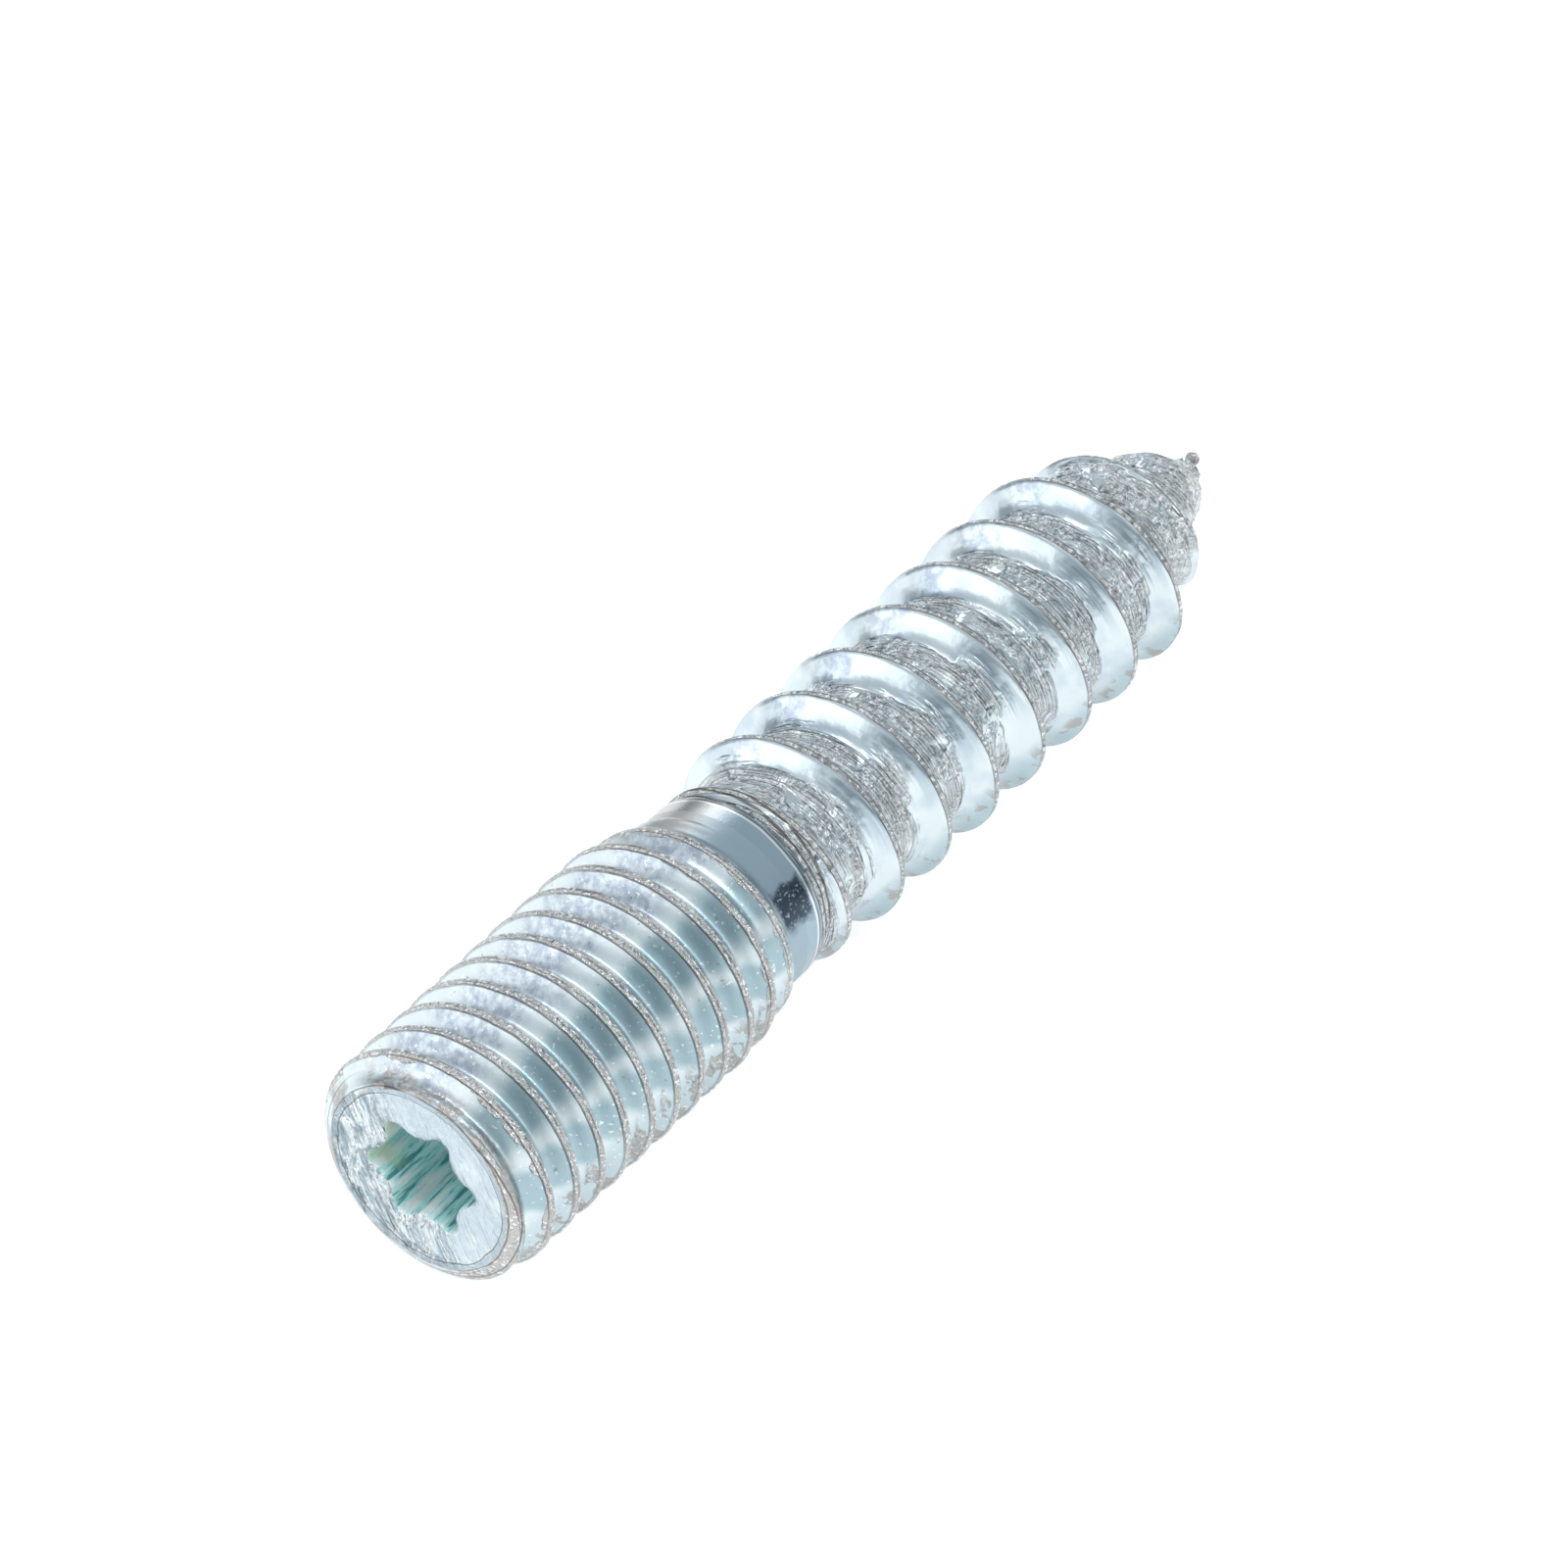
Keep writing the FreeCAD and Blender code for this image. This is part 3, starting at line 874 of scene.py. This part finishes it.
def endFaceZinc():
    f = Finish("shearedEndZinc")
    marks, share = shearMarks, shearMarks["share"]
    # the shear ran in long bent streaks
    bend = f.sway(f.noise(0.6, 2), 1.6)
    across = f.plus(f.towards(1.1, -0.4), f.times(bend, 0.4))
    turned = f.add("CombineXYZ", {0: across, 1: f.plus(f.times(f.z, 0.35), bend), 2: f.t})
    streak = f.add("TexNoise", {"Vector": turned, "Scale": 3.2, "Detail": 4, "Roughness": 0.6})
    cracks = f.add("TexNoise", {"Vector": turned, "Scale": 1.9, "Detail": 5, "Roughness": 0.65})
    left = f.step(f.plus(f.y, f.times(f.z, -0.5)), *marks["tornHalf"])
    colour = f.tint(f.step(f.noise(0.6, 2), 0.46, 0.66), zinc["haze"], zinc["pale"])
    torn = f.tint(f.step(streak, 0.40, 0.52), zinc["steel"], zinc["ice"])
    colour = f.tint(f.times(left, share["tornHalf"]), colour, torn)
    # painted shade: thin cracks darkened
    thin = f.fall(f.size(f.minus(cracks, 0.5)), *marks["cracks"])
    thin = f.times(thin, f.step(streak, 0.40, 0.50))
    thin = f.times(thin, f.plus(f.times(left, 0.75), 0.1))
    colour = f.tint(thin, colour, zinc["seamAndShade"])
    # the groove inside the rim, painted dark as its shade, and the band outside it
    reach = f.plus(f.reach(), f.sway(f.noise(0.9, 3), 0.22))
    groove = f.line(reach, *marks["groove"])
    colour = f.tint(f.times(groove, share["groove"]), colour, zinc["seamAndShade"])
    rim = f.step(reach, *marks["rim"])
    colour = f.tint(f.times(rim, share["rim"]), colour, zinc["steel"])
    facets = f.add("TexVoronoi", {"Vector": turned, "Scale": 2.4}, output="Distance")
    foil = f.bump(f.times(facets, left), 0.34)
    fine = f.bump(cracks, 0.20, 1.0, foil)
    finer = f.bump(f.times(streak, f.plus(left, 0.35)), 0.16, 1.0, fine)
    return f.finish(colour, marks["roughness"], finer)


recessMarks = {
    "mossFrom": (0.9, 1.5),  # across the recess
    "mossTo": (0.5, 1.4),  # down its wall
    "moss": 0.6,
    "metallic": 0.0,  # a metal wall would be black this deep in
    "roughness": 0.3,
}


def recessZinc():
    f = Finish("recessZinc")
    marks = recessMarks
    f.shader.inputs["Metallic"].default_value = marks["metallic"]
    streak = f.noise(1.5, 3, (0.3, 2.4, 2.4), 0.6)
    colour = f.tint(f.step(streak, 0.38, 0.48), zinc["deep"], zinc["recess"])
    # painted reflections: white streaks where the metal wall would mirror the light
    colour = f.tint(f.step(streak, 0.53, 0.56), colour, zinc["white"])
    moss = f.times(f.step(f.y, *marks["mossFrom"]), f.fall(f.t, *marks["mossTo"]),
                   f.step(f.noise(1.6, 2), 0.42, 0.55))
    colour = f.tint(f.times(moss, marks["moss"]), colour, zinc["moss"])
    return f.finish(colour, marks["roughness"], f.bump(streak, 0.25))


# each zone of the bolt, in the order of its material slots, and what makes its finish
finishes = {
    "machineThread": machineZinc,
    "woodThread": woodZinc,
    "collar": collarZinc,
    "endFace": endFaceZinc,
    "recess": recessZinc,
}


def zoneOf(face):
    centre = face.calc_center_median() * perMetre
    t, angle, radius = polar(centre + Vector((bolt["length"] / 2, 0, -bolt["axisHeight"])))
    if radius < lobeRadius(angle) + endFace["recessMargin"] and t < endFace["recessEnd"]:
        return "recess"
    if t < endFace["faceDepth"] and radius < endFace["radius"] - endFace["faceMargin"]:
        return "endFace"
    if t < bolt["machineJoin"]:
        return "machineThread"
    return "collar" if t < bolt["woodJoin"] + bolt["collarOver"] else "woodThread"


def makeBolt():
    machine = threadSkin("machine thread", machineThread, machineRadius)
    cutAt(machine, 0.0, above=False)
    cutAt(machine, bolt["machineJoin"], above=True)
    wood = threadSkin("wood thread", woodThread, woodRadius)
    cutAt(wood, bolt["woodJoin"], above=False)
    cutAt(wood, bolt["tipJoin"], above=True)
    bm = joined(machine, wood)
    rims = rimEdges(bm, bolt["machineJoin"]) + rimEdges(bm, bolt["woodJoin"])
    bmesh.ops.bridge_loops(bm, edges=rims)
    print("collar bridged")
    closeEndFace(bm)
    closeTip(bm)
    bmesh.ops.remove_doubles(bm, verts=bm.verts, dist=bolt["weld"])
    bmesh.ops.recalc_face_normals(bm, faces=bm.faces)
    loose = [e for e in bm.edges if not e.is_manifold]
    print("open edges", len(loose), "faces", len(bm.faces))
    # from the bolt's own millimetres to the frame's metres
    move = Matrix.Translation((-bolt["length"] / 2, 0, bolt["axisHeight"]))
    bmesh.ops.transform(bm, matrix=move, verts=bm.verts)
    bmesh.ops.scale(bm, vec=(1 / perMetre, 1 / perMetre, 1 / perMetre), verts=bm.verts)
    zones = list(finishes)
    for face in bm.faces:
        face.smooth = True
        face.material_index = zones.index(zoneOf(face))
    mesh = bpy.data.meshes.new("hangerBolt")
    bm.to_mesh(mesh)
    bm.free()
    piece = bpy.data.objects.new("hangerBolt", mesh)
    bpy.context.collection.objects.link(piece)
    for makeFinish in finishes.values():
        piece.data.materials.append(makeFinish())
    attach(piece, "root")
    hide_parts("hanger_bolt")
    print("bolt finished")


makeBolt()

studio = {
    "floorSize": 3.0,
    "floorDrop": 0.00005,
    "floorColour": (0.9, 0.9, 0.9, 1),
    "floorGlow": 0.55,  # as the camera sees it, on top of its own light
    "floorGlowMirrored": 0.34,  # as the metal mirrors it
    "cameraPlace": (-0.218835, -0.15650, 0.24203),
    "cameraForward": (0.60840, 0.43908, -0.66110),
    "lens": 270,
    "sensor": 36,
    "cameraSees": (0.01, 10),  # from and to these distances
    "horizon": (0.05, 0.09, 0.11, 1),
    "sky": (0.54, 0.60, 0.63, 1),
    "skyFrom": 0.11,
    "skyTo": 0.28,
    "lampDistance": 0.6,
    # bearing about +Z, height over the horizon, size and brightness
    "lamps": {
        "leftBox": (150, 17, (0.74, 0.36), 1.1),
        "topBox": (180, 82, (0.16, 0.16), 5.5),
        "ridgeBox": (-105, 58, (0.16, 0.16), 7.0),
        "backBox": (42, 34, (0.22, 0.22), 1.5),
        "rightBox": (-102, 27, (0.30, 0.24), 1.2),
    },
}


def paperMaterial():
    # white paper that glows a little, but only to the camera and in the metal's mirror
    material = bpy.data.materials.new("whitePaper")
    material.use_nodes = True
    nodes, links = material.node_tree.nodes, material.node_tree.links
    nodes.remove(nodes["Principled BSDF"])
    diffuse = nodes.new("ShaderNodeBsdfDiffuse")
    diffuse.inputs["Color"].default_value = studio["floorColour"]
    glow = nodes.new("ShaderNodeEmission")
    path = nodes.new("ShaderNodeLightPath")
    seen = nodes.new("ShaderNodeMath")
    seen.operation = "MULTIPLY"
    seen.inputs[1].default_value = studio["floorGlow"]
    mirrored = nodes.new("ShaderNodeMath")
    mirrored.operation = "MULTIPLY_ADD"
    mirrored.inputs[1].default_value = studio["floorGlowMirrored"]
    both = nodes.new("ShaderNodeAddShader")
    links.new(path.outputs["Is Camera Ray"], seen.inputs[0])
    links.new(path.outputs["Is Glossy Ray"], mirrored.inputs[0])
    links.new(seen.outputs[0], mirrored.inputs[2])
    links.new(mirrored.outputs[0], glow.inputs["Strength"])
    links.new(diffuse.outputs[0], both.inputs[0])
    links.new(glow.outputs[0], both.inputs[1])
    links.new(both.outputs[0], nodes["Material Output"].inputs["Surface"])
    return material


def makeFloor():
    bm = bmesh.new()
    bmesh.ops.create_grid(bm, x_segments=1, y_segments=1, size=studio["floorSize"] / 2)
    mesh = bpy.data.meshes.new("floor")
    bm.to_mesh(mesh)
    bm.free()
    floor = bpy.data.objects.new("floor", mesh)
    floor.location.z = -studio["floorDrop"]
    bpy.context.collection.objects.link(floor)
    floor.data.materials.append(paperMaterial())


def makeLamp(name, turnDegrees, levelDegrees, size, brightness):
    # a soft box that faces the bolt
    turn, level = math.radians(turnDegrees), math.radians(levelDegrees)
    direction = Vector((math.cos(level) * math.cos(turn), math.cos(level) * math.sin(turn),
                        math.sin(level)))
    data = bpy.data.lights.new(name, "AREA")
    data.shape = "RECTANGLE"
    data.size, data.size_y = size
    data.energy = brightness * math.pi * size[0] * size[1]
    lamp = bpy.data.objects.new(name, data)
    lamp.location = studio["lampDistance"] * direction
    lamp.rotation_euler = (-direction).to_track_quat("-Z", "Y").to_euler()
    bpy.context.collection.objects.link(lamp)


def makeAir():
    # world light, darker towards the horizon
    world = bpy.data.worlds.new("studioAir")
    bpy.context.scene.world = world
    world.use_nodes = True
    nodes, links = world.node_tree.nodes, world.node_tree.links
    direction = nodes.new("ShaderNodeTexCoord")
    parts = nodes.new("ShaderNodeSeparateXYZ")
    height = nodes.new("ShaderNodeMapRange")
    height.interpolation_type = "SMOOTHSTEP"
    height.inputs["From Min"].default_value = studio["skyFrom"]
    height.inputs["From Max"].default_value = studio["skyTo"]
    mix = nodes.new("ShaderNodeMix")
    mix.data_type = "RGBA"
    mix.inputs[6].default_value = studio["horizon"]
    mix.inputs[7].default_value = studio["sky"]
    links.new(direction.outputs["Generated"], parts.inputs[0])
    links.new(parts.outputs[2], height.inputs["Value"])
    links.new(height.outputs[0], mix.inputs[0])
    links.new(mix.outputs[2], nodes["Background"].inputs["Color"])


def makeCamera():
    data = bpy.data.cameras.new("photoCamera")
    data.lens = studio["lens"]
    data.sensor_width = studio["sensor"]
    data.clip_start, data.clip_end = studio["cameraSees"]
    camera = bpy.data.objects.new("photoCamera", data)
    camera.location = studio["cameraPlace"]
    camera.rotation_euler = Vector(studio["cameraForward"]).to_track_quat("-Z", "Y").to_euler()
    bpy.context.collection.objects.link(camera)
    bpy.context.scene.camera = camera
    bpy.context.scene.view_settings.view_transform = "Standard"


makeFloor()
for name, settings in studio["lamps"].items():
    makeLamp(name, *settings)
makeAir()
makeCamera()
print("studio ready")
